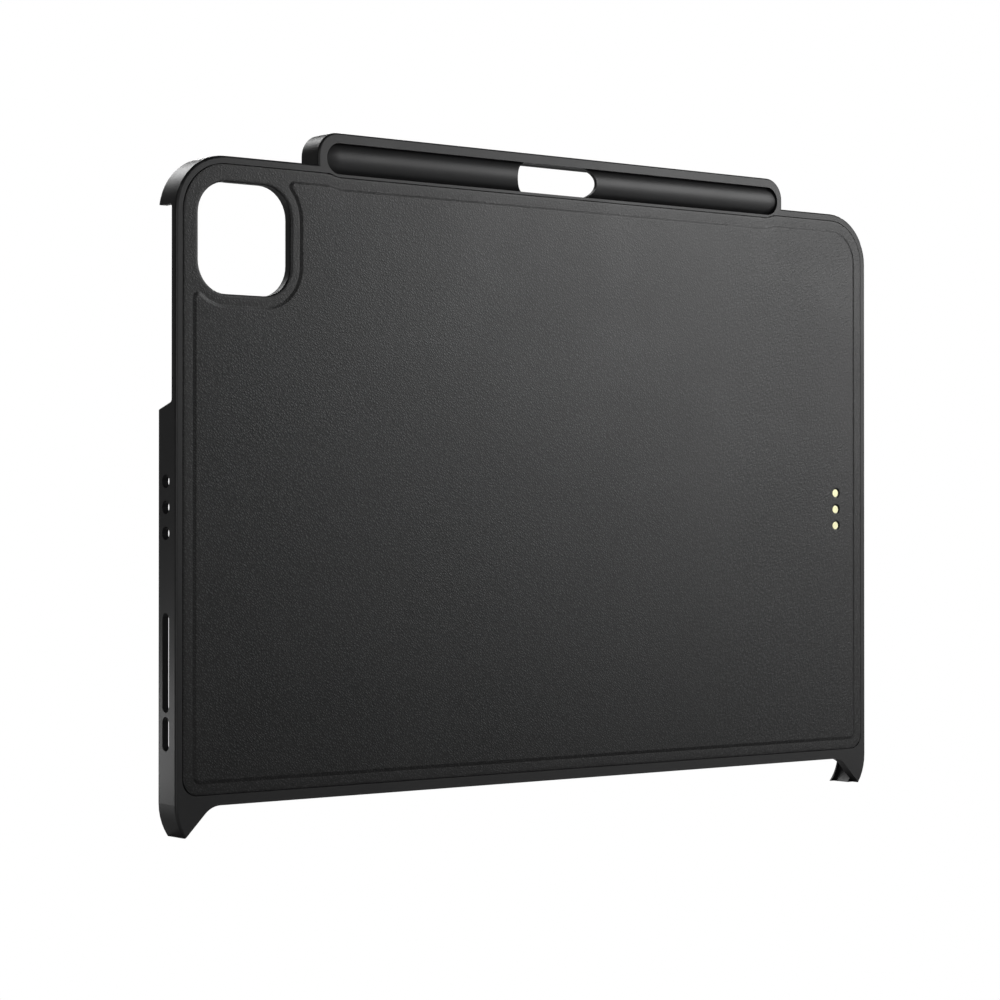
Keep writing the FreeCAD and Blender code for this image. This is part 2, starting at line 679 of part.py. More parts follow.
def make_side_openings(frame):
    """Openings of the side walls: cut-away, round holes, slots, port window and key slot."""
    side_window(frame, "side_step", f"{RIM} + cut_floor", "wall")
    side_window(frame, "side_cut_away", FLOOR, "floor_width + wall")

    line = f"({RIM} + side_line)"
    holes = side_sketch(frame, "hole_outlines", f"-({OUT_X} + wall)")
    for step in (1, 0, -1):
        circle(holes, line, f"hole_pitch * {step}", "hole_diameter / 2")
    half = "slot_width / 2"
    long_end = "(slot_start + long_slot)"
    short_start = f"({long_end} + slot_bridge)"
    stadium(holes, (line, f"-slot_start - {half}"), (line, f"-{long_end} + {half}"), half)
    stadium(
        holes,
        (line, f"-{short_start} - {half}"),
        (line, f"-{short_start} - short_slot + {half}"),
        half,
    )
    pocket(frame, "left_holes", holes, "2 * wall + tablet_gap", turned=True)

    ports = side_sketch(frame, "port_outlines", f"{OUT_X} + wall")
    port_end = "(port_length - port_width) / 2"
    stadium(ports, (STYLUS_Y, f"-{port_end}"), (STYLUS_Y, port_end), "port_width / 2")
    for up in ("", "-"):
        stadium(
            ports,
            (line, f"{up}(slot_start + {half})"),
            (line, f"{up}({long_end} - {half})"),
            half,
        )
    pocket(frame, "right_holes", ports, "2 * wall + tablet_gap")

    keys = new_sketch(frame, "XY_Plane", "key_outline", out=f"{OUT_Z} + wall")
    start = f"(key_slot_side - {OUT_X})"
    stadium(
        keys,
        (f"{start} + key_slot_width / 2", STYLUS_Y),
        (f"{start} + key_slot_length - key_slot_width / 2", STYLUS_Y),
        "key_slot_width / 2",
    )
    pocket(frame, "key_slot", keys, "2 * wall + tablet_gap")


def magnet_rows():
    """Each row of magnets: name, whether it stands, middle of the row, and how many."""
    return [
        ("left", True, f"(magnet_side - {OUT_X})", "-left_row_drop", 5),
        ("right", True, f"({OUT_X} - magnet_side)", "-right_row_drop", 6),
        ("upper", False, "0", f"({OUT_Z} - magnet_top)", 7),
        ("lower", False, "0", f"({LOW_Z} + magnet_low)", 7),
    ]


def row_box(stands, x, z, length, margin):
    """Corners of a box about a point, long way up if it stands."""
    long_half = f"({length} / 2 + {margin})"
    wide_half = f"(magnet_wide / 2 + {margin})"
    across, upright = (wide_half, long_half) if stands else (long_half, wide_half)
    return f"{x} - {across}", f"{x} + {across}", f"{z} - {upright}", f"{z} + {upright}"


def first_magnet(stands, x, z, count):
    """Middle of the first magnet of a row, at its low or left end."""
    back = f"magnet_pitch * {(count - 1) / 2}"
    return (x, f"({z} - {back})") if stands else (f"({x} - {back})", z)


def row_length(count):
    return f"magnet_pitch * {count - 1}"


def make_magnets():
    """Rows of separate magnets, and the steel strip that each row lies on."""
    made = []
    for name, stands, x, z, count in magnet_rows():
        magnets = new_body(f"magnets_{name}")
        one = back_sketch(magnets, f"magnet_{name}_outline", f"{PLATE_TOP} - yoke_thick - magnet_thick")
        start = first_magnet(stands, x, z, count)
        rectangle(one, *row_box(stands, *start, "magnet_long", "0"))
        block = pad(magnets, f"magnet_{name}", one, "magnet_thick")
        axis = "V_Axis" if stands else "H_Axis"
        repeat(magnets, f"magnet_{name}_row", block, axis, row_length(count), count)
        yoke = new_body(f"magnet_yoke_{name}")
        strip = back_sketch(yoke, f"yoke_{name}_outline", f"{PLATE_TOP} - yoke_thick")
        rectangle(strip, *row_box(stands, x, z, f"({row_length(count)} + magnet_long)", "0"))
        pad(yoke, f"yoke_{name}", strip, "yoke_thick")
        made += [magnets, yoke]
    return made


def make_plate():
    """Hard plate: its tongue lies on the frame's ledge, its pockets hold the magnets."""
    plate = new_body("back_plate")
    field = back_sketch(plate, "plate_field_outline", SEAT)
    outline(field, ring_outline(
        f"({LEDGE_INSET} + fit_gap)", f"({LEDGE_LOW} + fit_gap)", "plate_low_corner - fit_gap"))
    pad(plate, "plate_field", field, f"{PLATE_TOP} - {SEAT}")
    tongue = back_sketch(plate, "plate_tongue_outline", LEDGE)
    outline(tongue, ring_outline(
        f"({PLATE_INSET} + fit_gap)", f"({PLATE_LOW} + fit_gap)", "plate_low_corner - fit_gap"))
    pad(plate, "plate_tongue", tongue, f"{PLATE_TOP} - {LEDGE}")
    camera = back_sketch(plate, "plate_camera_outline", SEAT)
    outline(camera, camera_outline("fit_gap"))
    pocket(plate, "plate_camera_window", camera, f"{PLATE_TOP} - {SEAT}")
    way = back_sketch(plate, "plate_contact_outline", SEAT)
    outline(way, contact_outline("fit_gap"))
    pocket(plate, "plate_contact_way", way, f"{PLATE_TOP} - {SEAT}")
    step = back_sketch(plate, "plate_flange_outline", GASKET_Y)
    outline(step, contact_outline("(flange_width + fit_gap)"))
    pocket(plate, "plate_flange_seat", step, f"{PLATE_TOP} - {GASKET_Y}")
    for name, stands, x, z, count in magnet_rows():
        slot = back_sketch(plate, f"yoke_{name}_slot_outline", f"{PLATE_TOP} - yoke_thick")
        rectangle(slot, *row_box(stands, x, z, f"({row_length(count)} + magnet_long)", "fit_gap"))
        pocket(plate, f"yoke_{name}_slot", slot, "yoke_thick")
        bed = back_sketch(plate, f"magnet_{name}_bed_outline", f"{PLATE_TOP} - yoke_thick - magnet_thick")
        start = first_magnet(stands, x, z, count)
        rectangle(bed, *row_box(stands, *start, "magnet_long", "fit_gap"))
        cut = pocket(plate, f"magnet_{name}_bed", bed, "magnet_thick")
        axis = "V_Axis" if stands else "H_Axis"
        repeat(plate, f"magnet_{name}_beds", cut, axis, row_length(count), count)
    return plate


def make_filler():
    """Board that fills the raised field of the panel's skin."""
    filler = new_body("filler_board")
    field = back_sketch(filler, "filler_outline", "leather_thick")
    outline(field, panel_outline("(plateau_inset + leather_thick)", "plateau_low_corner"))
    pad(filler, "filler_field", field, "plateau_rise")
    notch = back_sketch(filler, "filler_notch_outline", "leather_thick")
    outline(notch, camera_outline("(camera_border + leather_thick)"))
    pocket(filler, "filler_notch", notch, "plateau_rise")
    holes = back_sketch(filler, "filler_hole_outlines", "leather_thick")
    pocket(filler, "filler_holes", contact_circles(holes, "contact_hole / 2"), "plateau_rise")
    return filler


def make_leather(filler):
    """Skin of the panel: a flat border, and a raised field that goes round the corner window."""
    blank = new_body("leather_blank")
    border = back_sketch(blank, "panel_outline", RIM)
    outline(border, panel_outline("(parting_gap / 2)", "panel_low_corner"))
    pad(blank, "panel_border", border, "leather_thick")
    field = back_sketch(blank, "field_outline", "0")
    outline(field, panel_outline("plateau_inset", "plateau_low_corner"))
    pad(blank, "raised_field", field, "plateau_rise")
    notch = back_sketch(blank, "field_notch_outline", "0")
    outline(notch, camera_outline("camera_border"))
    pocket(blank, "field_notch", notch, "plateau_rise")
    break_edges(blank, "field_edge", "plateau_edge", at_level("0"), kind="Chamfer")
    window = back_sketch(blank, "panel_camera_outline", "0")
    outline(window, camera_outline("0"))
    pocket(blank, "panel_camera_window", window, SEAT)
    holes = back_sketch(blank, "panel_hole_outlines", "0")
    pocket(blank, "panel_holes", contact_circles(holes, "contact_hole / 2"), SEAT)
    leather = doc.addObject("Part::Cut", "leather_panel")
    leather.Base = blank
    leather.Tool = filler
    leather.Label = "leather_panel"
    doc.recompute()
    return leather


def make_lining():
    """Microfibre sheet on the plate's inner face."""
    lining = new_body("lining")
    sheet_outline = back_sketch(lining, "lining_outline", PLATE_TOP)
    outline(sheet_outline, ring_outline(
        f"({PLATE_INSET} + fit_gap)", f"({PLATE_LOW} + fit_gap)", "plate_low_corner - fit_gap"))
    pad(lining, "lining_sheet", sheet_outline, "lining_thick")
    camera = back_sketch(lining, "lining_camera_outline", PLATE_TOP)
    outline(camera, camera_outline("fit_gap"))
    pocket(lining, "lining_camera_window", camera, "lining_thick")
    contacts = back_sketch(lining, "lining_contact_outline", PLATE_TOP)
    outline(contacts, contact_outline("(flange_width + fit_gap)"))
    pocket(lining, "lining_contact_window", contacts, "lining_thick")
    return lining


def make_contact_block():
    """Housing, gasket, board and cover that carry the contacts through the back."""
    housing = new_body("contact_housing")
    shell = back_sketch(housing, "housing_outline", SEAT)
    outline(shell, contact_outline("0"))
    pad(housing, "housing_shell", shell, f"{COVER_Y} - {SEAT}")
    flange = back_sketch(housing, "flange_outline", FLANGE_Y)
    outline(flange, contact_outline("flange_width"))
    pad(housing, "housing_flange", flange, "flange_thick")
    hollow = back_sketch(housing, "hollow_outline", BOARD_Y)
    outline(hollow, contact_outline("(-housing_wall)"))
    pocket(housing, "housing_hollow", hollow, f"{COVER_Y} - {BOARD_Y}")
    stems = back_sketch(housing, "stem_outlines", SEAT)
    contact_circles(stems, "stem_radius + running_gap")
    pocket(housing, "stem_holes", stems, "housing_front")

    gasket = new_body("contact_gasket")
    ring = back_sketch(gasket, "gasket_outline", GASKET_Y)
    outline(ring, contact_outline("flange_width"))
    outline(ring, contact_outline("fit_gap"))
    pad(gasket, "gasket_ring", ring, "gasket_thick")

    board = new_body("contact_board")
    card = back_sketch(board, "board_outline", BOARD_Y)
    outline(card, contact_outline("(-housing_wall - fit_gap)"))
    pad(board, "board_card", card, "board_thick")

    cover = new_body("contact_cover")
    lid = back_sketch(cover, "cover_outline", COVER_Y)
    outline(lid, contact_outline("flange_width"))
    pad(cover, "cover_lid", lid, "cover_thick")
    holes = back_sketch(cover, "cover_hole_outlines", COVER_Y)
    contact_circles(holes, "plunger_radius + 2 * running_gap")
    pocket(cover, "cover_holes", holes, "cover_thick")
    return [housing, gasket, board, cover]


def make_contact(name, step):
    """One contact: gilt pad, pin barrel, spring and sprung pin on one axis."""
    place = f"contact_pitch * {step}"
    pad_radius = "(contact_hole / 2 - pad_gap)"
    disc = turned_body(f"contact_pad_{name}", place, [
        ("0", PAD_FACE),
        (f"{pad_radius} - pad_chamfer", PAD_FACE),
        (pad_radius, f"{PAD_FACE} + pad_chamfer"),
        (pad_radius, SEAT),
        ("stem_radius", SEAT),
        ("stem_radius", BOARD_Y),
        ("0", BOARD_Y),
    ])
    bore = "(barrel_radius - barrel_wall)"
    neck = "(plunger_radius + running_gap)"
    barrel = turned_body(f"pogo_barrel_{name}", place, [
        ("0", BARREL_Y),
        ("barrel_radius", BARREL_Y),
        ("barrel_radius", COVER_Y),
        (neck, COVER_Y),
        (neck, LIP_UNDER),
        (bore, LIP_UNDER),
        (bore, SPRING_FOOT),
        ("0", SPRING_FOOT),
    ])
    collar = f"({bore} - running_gap)"
    plunger = turned_body(f"pogo_plunger_{name}", place, [
        ("spring_bore", COLLAR_UNDER),
        (collar, COLLAR_UNDER),
        (collar, COLLAR_TOP),
        ("plunger_radius", COLLAR_TOP),
        ("plunger_radius", f"{TIP_Y} - plunger_chamfer"),
        ("plunger_radius - plunger_chamfer", TIP_Y),
        ("0", TIP_Y),
        ("0", BORE_END),
        ("spring_bore", BORE_END),
    ])
    spring = new_body(f"pogo_spring_{name}")
    low = f"({SPRING_FOOT} + running_gap + spring_wire / 2)"
    high = f"({BORE_END} - running_gap - spring_wire / 2)"
    wire = new_sketch(spring, "XY_Plane", f"wire_{name}", right=CONTACT_X, out=place)
    rectangle(
        wire,
        "spring_radius - spring_wire / 2",
        "spring_radius + spring_wire / 2",
        f"{low} - spring_wire / 2",
        f"{low} + spring_wire / 2",
    )
    coil = spring.newObject("PartDesign::AdditiveHelix", f"coil_{name}")
    coil.Profile = wire
    coil.ReferenceAxis = (wire, ["V_Axis"])
    coil.Mode = "height-turns-angle"
    bind(coil, "Height", f"{high} - {low}")
    coil.Turns = SPRING_TURNS
    doc.recompute()
    return [disc, barrel, plunger, spring]


def build():
    filler = make_filler()
    made = [make_frame(), make_plate(), filler, make_leather(filler), make_lining()]
    made += make_contact_block()
    for name, step in CONTACT_PLACES.items():
        made += make_contact(name, step)
    made += make_magnets()
    return made


def write(made):
    doc.recompute()
    for item in doc.Objects:
        if "Invalid" in item.State or "Error" in item.State:
            raise RuntimeError(f"{item.Label} failed: {item.State}")
    for item in made:
        if item.Shape.isNull() or not item.Shape.isValid():
            raise RuntimeError(f"{item.Label} has no valid shape")
    os.makedirs("parts", exist_ok=True)
    for item in made:
        item.Shape.exportStep(f"parts/{item.Label}.step")
        print(item.Label, len(item.Shape.Solids), "solid,", round(item.Shape.Volume, 3), "mm3")


write(build())
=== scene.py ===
import json
import math

import bmesh
import bpy
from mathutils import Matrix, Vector


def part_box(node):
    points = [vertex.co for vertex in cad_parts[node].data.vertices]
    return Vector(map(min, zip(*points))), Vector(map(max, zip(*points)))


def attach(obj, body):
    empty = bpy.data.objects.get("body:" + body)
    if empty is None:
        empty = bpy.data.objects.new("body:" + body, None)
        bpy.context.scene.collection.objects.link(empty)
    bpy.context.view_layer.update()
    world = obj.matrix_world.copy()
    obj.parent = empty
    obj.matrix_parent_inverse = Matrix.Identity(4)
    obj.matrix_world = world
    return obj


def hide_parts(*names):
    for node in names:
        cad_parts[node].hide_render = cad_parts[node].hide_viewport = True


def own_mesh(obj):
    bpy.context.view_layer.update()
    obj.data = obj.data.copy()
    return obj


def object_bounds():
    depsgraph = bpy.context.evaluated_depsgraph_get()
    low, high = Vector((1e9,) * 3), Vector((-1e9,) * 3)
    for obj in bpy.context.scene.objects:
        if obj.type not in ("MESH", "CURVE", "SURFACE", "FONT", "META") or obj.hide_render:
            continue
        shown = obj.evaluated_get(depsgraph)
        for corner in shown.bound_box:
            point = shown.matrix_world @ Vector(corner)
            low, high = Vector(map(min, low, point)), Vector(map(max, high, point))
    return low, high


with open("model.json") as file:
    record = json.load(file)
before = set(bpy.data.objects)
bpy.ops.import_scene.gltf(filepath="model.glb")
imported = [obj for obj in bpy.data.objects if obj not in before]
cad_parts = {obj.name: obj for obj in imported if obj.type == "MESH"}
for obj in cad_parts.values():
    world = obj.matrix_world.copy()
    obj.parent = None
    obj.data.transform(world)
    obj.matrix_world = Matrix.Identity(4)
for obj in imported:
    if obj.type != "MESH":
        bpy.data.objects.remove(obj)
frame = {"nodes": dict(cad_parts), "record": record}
cad_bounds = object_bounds()
scene = bpy.context.scene

# Lengths below are in millimetres unless a comment says otherwise, and the scene is in metres.
MM = 0.001

# Points that are nearer than this, in metres, are at one place.
NEAR = 0.02 * MM

# A straight run shorter than this is left out, and ends that meet this closely are welded.
SHORTEST_RUN = 0.01
WELD = 0.001

# Edges that turn by more than these angles, in degrees, stay sharp.
SHEET_CREASE = 50
WIRE_CREASE = 40

# Levels along Y: the back of the case faces -Y and the open front +Y.
FIELD_LEVEL = 0.0
BORDER_LEVEL = 0.24
POCKET_LEVEL = 0.7
SEAT_LEVEL = 1.1
LINING_BACK = 2.7
LINING_FRONT = 3.08

# Outlines on the back: left, right, lower and upper edge.
SKIN_EDGES = (-123.68, 123.68, -74.15, 89.13)
SKIN_WINDOW = (-119.2, -90.5, 55.35, 84.45)
FIELD_EDGES = (-120.4, 120.4, -70.87, 85.85)
LINING_EDGES = (-121.4, 121.4, -72.6, 86.85)
LINING_WINDOW = (-119.3, -90.4, 55.25, 84.55)
LINING_GAP = (108.1, 117.1, -9.5, 9.5)

# A sheet's soft edge, from its cut inwards: steps of a width and a rise, as shares of the edge's softness,
# and then a flat margin.
EDGE_STEPS = ((0.3, 0.6), (0.6, 0.4))
FLAT_MARGIN = 0.6

# The raised field's corner radii, below and above, and the notch that it leaves for the window: the radius
# of its bends and where their middles are along X and Z.
FIELD_FOOT = 1.7
FIELD_CORNER = 9.55
NOTCH_RADIUS = 11.8
NOTCH_RIGHT = -99.0
NOTCH_LEFT = -110.7
NOTCH_LOW = 63.85
NOTCH_TOP = 75.95

# The skin dips a little at the field's foot and then climbs softly on to the field.
# Each step is a width, and a move along Y.
FIELD_SLOPE = ((0.2, 0.03), (0.15, -0.015), (0.25, -0.065), (0.3, -0.1), (0.25, -0.07), (0.2, -0.02))

# The dips of the panel's upper edge under the trough: where each slope starts and ends along X.
DIP_POINTS = (-77.95, -75.15, 83.45, 86.25)
DIP_DEPTH = 0.87
DIP_ROUNDING = 1.3

# The three contacts: where they are along X and Z, and the holes over them as radii and levels along Y.
CONTACT_X = 112.6
CONTACT_PLACES = {"upper": 5.0, "middle": 0.0, "lower": -5.0}
HOLE_MARGIN = 1.9
HOLE_STEPS = 32
HOLE_PROFILE = (
    (1.62, 0.0), (1.53, 0.03), (1.5, 0.1), (1.5, 0.29), (1.2, 0.31), (1.18, 0.335), (1.5, 0.34),
    (1.5, POCKET_LEVEL),
)

# The springs of the three pins.
SPRING_RADIUS = 0.24
SPRING_WIRE = 0.1
SPRING_TURNS = 3
SPRING_STEPS = 20


# Modelling steps


def add_face(name, left, right, low, high, level):
    """A new piece that is one face towards the back, left open in edit mode with the face selected."""
    bpy.ops.object.select_all(action="DESELECT")
    bpy.ops.mesh.primitive_plane_add(
        size=1,
        location=((left + right) / 2 * MM, level * MM, (low + high) / 2 * MM),
        rotation=(math.pi / 2, 0, 0),
    )
    piece = bpy.context.object
    piece.name = name
    piece.scale = ((right - left) * MM, (high - low) * MM, 1)
    bpy.ops.object.transform_apply(location=True, rotation=True, scale=True)
    bpy.ops.object.mode_set(mode="EDIT")
    bpy.ops.mesh.select_all(action="SELECT")
    return piece


def pick(piece, kind, wanted):
    """Selects only the vertices, edges or faces that are wanted."""
    bpy.ops.mesh.select_mode(type=kind)
    bpy.ops.mesh.select_all(action="DESELECT")
    mesh = bmesh.from_edit_mesh(piece.data)
    for one in {"VERT": mesh.verts, "EDGE": mesh.edges, "FACE": mesh.faces}[kind]:
        if wanted(one):
            one.select_set(True)
    mesh.select_flush_mode()
    bmesh.update_edit_mesh(piece.data)


def at_point(x, z):
    """A test for a vertex that lies at a point of the back."""
    return lambda vert: abs(vert.co.x - x * MM) < NEAR and abs(vert.co.z - z * MM) < NEAR


def open_edge_at(level):
    """A test for an edge of an open boundary that lies at a level along Y."""
    return lambda edge: edge.is_boundary and all(abs(v.co.y - level * MM) < NEAR for v in edge.verts)


def round_corner(piece, x, z, radius, segments=10):
    pick(piece, "VERT", at_point(x, z))
    bpy.ops.mesh.bevel(offset=radius * MM, segments=segments, affect="VERTICES", clamp_overlap=False)


def dip_top(piece, top):
    """Lowers the middle of a face's upper edge, with a slope at each end."""
    pick(piece, "EDGE", lambda edge: all(abs(v.co.z - top * MM) < NEAR for v in edge.verts))
    bpy.ops.mesh.subdivide(number_cuts=4)
    mesh = bmesh.from_edit_mesh(piece.data)
    upper = sorted(v.co.x / MM for v in mesh.verts if abs(v.co.z - top * MM) < NEAR)
    drops = (0, DIP_DEPTH, DIP_DEPTH, 0)
    for x, goal, drop in reversed(list(zip(upper[1:-1], DIP_POINTS, drops))):
        pick(piece, "VERT", at_point(x, top))
        bpy.ops.transform.translate(value=((goal - x) * MM, 0, -drop * MM))
    for goal, drop in zip(DIP_POINTS, drops):
        round_corner(piece, goal, top - drop, DIP_ROUNDING, segments=4)


def rings(*steps):
    """Insets the selected face step by step: each step is a width, and a move along Y."""
    for width, rise in steps:
        bpy.ops.mesh.inset(thickness=width * MM, depth=0, use_even_offset=True)
        bpy.ops.transform.translate(value=(0, rise * MM, 0))


def cut_out():
    """Takes the selected face away and keeps its edges."""
    bpy.ops.mesh.delete(type="ONLY_FACE")


def draw_wall(piece, start, end):
    """Extrudes the open edges at one level along Y to another level."""
    pick(piece, "EDGE", open_edge_at(start))
    bpy.ops.mesh.extrude_edges_move(TRANSFORM_OT_translate={"value": (0, (end - start) * MM, 0)})


def close_level(piece, level):
    """Fills between all the open loops that lie at a level along Y."""
    pick(piece, "EDGE", open_edge_at(level))
    bpy.ops.mesh.fill(use_beauty=True)


def outer_edge(name, edges, radii, face, foot, soft, dipped=False):
    """The rim of a sheet: a flat margin, a soft edge and the wall down to the sheet's other side.

    The radii are those of the upper and lower corners, and face and foot the levels of the two sides.
    """
    left, right, low, high = edges
    piece = add_face(name, left, right, low, high, face + soft)
    if dipped:
        dip_top(piece, high)
    round_corner(piece, left, high, radii[0])
    round_corner(piece, right, high, radii[0])
    round_corner(piece, right, low, radii[1], segments=6)
    round_corner(piece, left, low, radii[1], segments=6)
    bpy.ops.mesh.select_mode(type="FACE")
    bpy.ops.mesh.select_all(action="SELECT")
    rings(*((width * soft, -rise * soft) for width, rise in EDGE_STEPS), (FLAT_MARGIN, 0))
    cut_out()
    draw_wall(piece, face + soft, foot)
    bpy.ops.object.mode_set(mode="OBJECT")
    return piece


def window_edge(name, edges, radius, face, foot, soft):
    """The rim of a window in a sheet: a flat margin, a soft edge and the wall through the sheet."""
    left, right, low, high = edges
    margin = FLAT_MARGIN + soft * sum(width for width, rise in EDGE_STEPS)
    piece = add_face(name, left - margin, right + margin, low - margin, high + margin, face)
    for x in (left - margin, right + margin):
        for z in (low - margin, high + margin):
            round_corner(piece, x, z, radius + margin)
    bpy.ops.mesh.select_mode(type="FACE")
    bpy.ops.mesh.select_all(action="SELECT")
    rings((FLAT_MARGIN, 0), *((width * soft, rise * soft) for width, rise in reversed(EDGE_STEPS)))
    cut_out()
    draw_wall(piece, face + soft, foot)
    bpy.ops.object.mode_set(mode="OBJECT")
    return piece


def bend_point(bend, angle):
    """The point of a round bend at an angle in degrees."""
    x, z, radius = bend[:3]
    turn = math.radians(angle)
    return Vector((x + radius * math.cos(turn), 0, z + radius * math.sin(turn)))


def draw_outline(name, level, bends):
    """A flat face drawn as round bends joined by straight runs.

    Each bend is its middle (x, z), radius, first and last angle in degrees, and number of steps.
    """
    piece = add_face(name, -0.5, 0.5, -0.5, 0.5, level)
    bpy.ops.mesh.select_mode(type="VERT")
    bpy.ops.mesh.merge(type="CENTER")
    start = bend_point(bends[0], bends[0][3])
    bpy.ops.transform.translate(value=start * MM)
    here = start
    for bend in bends:
        x, z = bend[:2]
        first, last, steps = bend[3:]
        run = bend_point(bend, first) - here
        if run.length > SHORTEST_RUN:
            bpy.ops.mesh.extrude_vertices_move(TRANSFORM_OT_translate={"value": run * MM})
        bpy.ops.mesh.spin(
            steps=steps,
            angle=math.radians(last - first),
            center=(x * MM, level * MM, z * MM),
            axis=(0, 1, 0),
        )
        here = bend_point(bend, last)
    bpy.ops.mesh.extrude_vertices_move(TRANSFORM_OT_translate={"value": (start - here) * MM})
    bpy.ops.mesh.select_all(action="SELECT")
    bpy.ops.mesh.remove_doubles(threshold=WELD * MM)
    bpy.ops.mesh.edge_face_add()
    return piece


def field_face(name, grow, level, tip):
    """The raised field's outline, grown by a width, with round tips beside the notch for the window."""
    left, right, low, high = FIELD_EDGES
    left -= grow
    right += grow
    low -= grow
    high += grow
    notch = NOTCH_RADIUS - grow
    reach = notch + tip
    tip_z = high - tip
    tip_x = NOTCH_RIGHT + math.sqrt(reach**2 - (tip_z - NOTCH_TOP) ** 2)
    side_x = left + tip
    side_z = NOTCH_LOW - math.sqrt(reach**2 - (side_x - NOTCH_LEFT) ** 2)
    upper = math.degrees(math.atan2(tip_z - NOTCH_TOP, tip_x - NOTCH_RIGHT))
    lower = math.degrees(math.atan2(side_z - NOTCH_LOW, side_x - NOTCH_LEFT))
    foot = FIELD_FOOT + grow
    corner = FIELD_CORNER + grow
    piece = draw_outline(name, level, [
        (left + foot, low + foot, foot, 180, 270, 7),
        (right - foot, low + foot, foot, 270, 360, 7),
        (right - corner, high - corner, corner, 0, 90, 12),
        (tip_x, tip_z, tip, 90, upper + 180, 8),
        (NOTCH_RIGHT, NOTCH_TOP, notch, upper, 0, 8),
        (NOTCH_RIGHT, NOTCH_LOW, notch, 0, -90, 12),
        (NOTCH_LEFT, NOTCH_LOW, notch, -90, lower, 8),
        (side_x, side_z, tip, lower + 180, 180, 8),
    ])
    dip_top(piece, high)
    bpy.ops.mesh.select_mode(type="FACE")
    bpy.ops.mesh.select_all(action="SELECT")
    return piece


def contact_hole(name, x, z):
    """A small round hole through the raised field, whose edge turns in over the contact's rim."""
    bpy.ops.object.select_all(action="DESELECT")
    bpy.ops.mesh.primitive_circle_add(
        vertices=HOLE_STEPS,
        radius=HOLE_MARGIN * MM,
        location=(x * MM, FIELD_LEVEL * MM, z * MM),
        rotation=(math.pi / 2, 0, 0),
    )
    piece = bpy.context.object
    piece.name = name
    bpy.ops.object.transform_apply(location=True, rotation=True, scale=True)
    bpy.ops.object.mode_set(mode="EDIT")
    bpy.ops.mesh.select_all(action="SELECT")
    size = HOLE_MARGIN
    level = FIELD_LEVEL
    for radius, depth in HOLE_PROFILE:
        bpy.ops.mesh.extrude_edges_move(TRANSFORM_OT_translate={"value": (0, (depth - level) * MM, 0)})
        bpy.ops.transform.resize(
            value=(radius / size, 1, radius / size), center_override=(x * MM, 0, z * MM)
        )
        size = radius
        level = depth
    bpy.ops.object.mode_set(mode="OBJECT")
    return piece


def join_sheet(pieces, levels):
    """Joins the rims of a sheet and fills the sheet between them at each level."""
    bpy.ops.object.select_all(action="DESELECT")
    for piece in pieces:
        piece.select_set(True)
    sheet = pieces[0]
    bpy.context.view_layer.objects.active = sheet
    bpy.ops.object.join()
    bpy.ops.object.mode_set(mode="EDIT")
    for level in levels:
        close_level(sheet, level)
    bpy.ops.mesh.select_all(action="SELECT")
    bpy.ops.mesh.normals_make_consistent(inside=False)
    bpy.ops.object.mode_set(mode="OBJECT")
    bpy.ops.object.shade_smooth_by_angle(angle=math.radians(SHEET_CREASE))
    bpy.ops.object.modifier_add(type="WEIGHTED_NORMAL")
    sheet.modifiers[-1].keep_sharp = True
    bpy.ops.object.modifier_apply(modifier=sheet.modifiers[-1].name)
    return sheet


# The pressed leather panel


def make_leather():
    sides = {"face": BORDER_LEVEL, "foot": SEAT_LEVEL}
    rim = outer_edge("leather_skin", SKIN_EDGES, radii=(12.83, 4.4), soft=0.16, dipped=True, **sides)
    window = window_edge("leather_window", SKIN_WINDOW, radius=8.5, soft=0.4, **sides)
    field = field_face("leather_field", grow=0.75, level=BORDER_LEVEL, tip=1.9)
    rings(*FIELD_SLOPE)
    cut_out()
    bpy.ops.object.mode_set(mode="OBJECT")
    pocket = field_face("leather_pocket", grow=-0.7, level=POCKET_LEVEL, tip=0.6)
    draw_wall(pocket, POCKET_LEVEL, SEAT_LEVEL)
    pick(pocket, "FACE", lambda face: abs(face.normal.y) > 0.9)
    cut_out()
    bpy.ops.object.mode_set(mode="OBJECT")
    holes = [contact_hole(f"leather_hole_{name}", CONTACT_X, z) for name, z in CONTACT_PLACES.items()]
    return join_sheet(
        [rim, window, field, pocket, *holes], (BORDER_LEVEL, FIELD_LEVEL, SEAT_LEVEL, POCKET_LEVEL)
    )


# The microfibre lining


def make_lining():
    cut = {"face": LINING_BACK, "foot": LINING_FRONT, "soft": 0.1}
    rim = outer_edge("lining_sheet", LINING_EDGES, radii=(10.55, 2.9), **cut)
    window = window_edge("lining_window", LINING_WINDOW, radius=8.6, **cut)
    gap = window_edge("lining_gap", LINING_GAP, radius=2.9, **cut)
    return join_sheet([rim, window, gap], (LINING_BACK, LINING_FRONT))
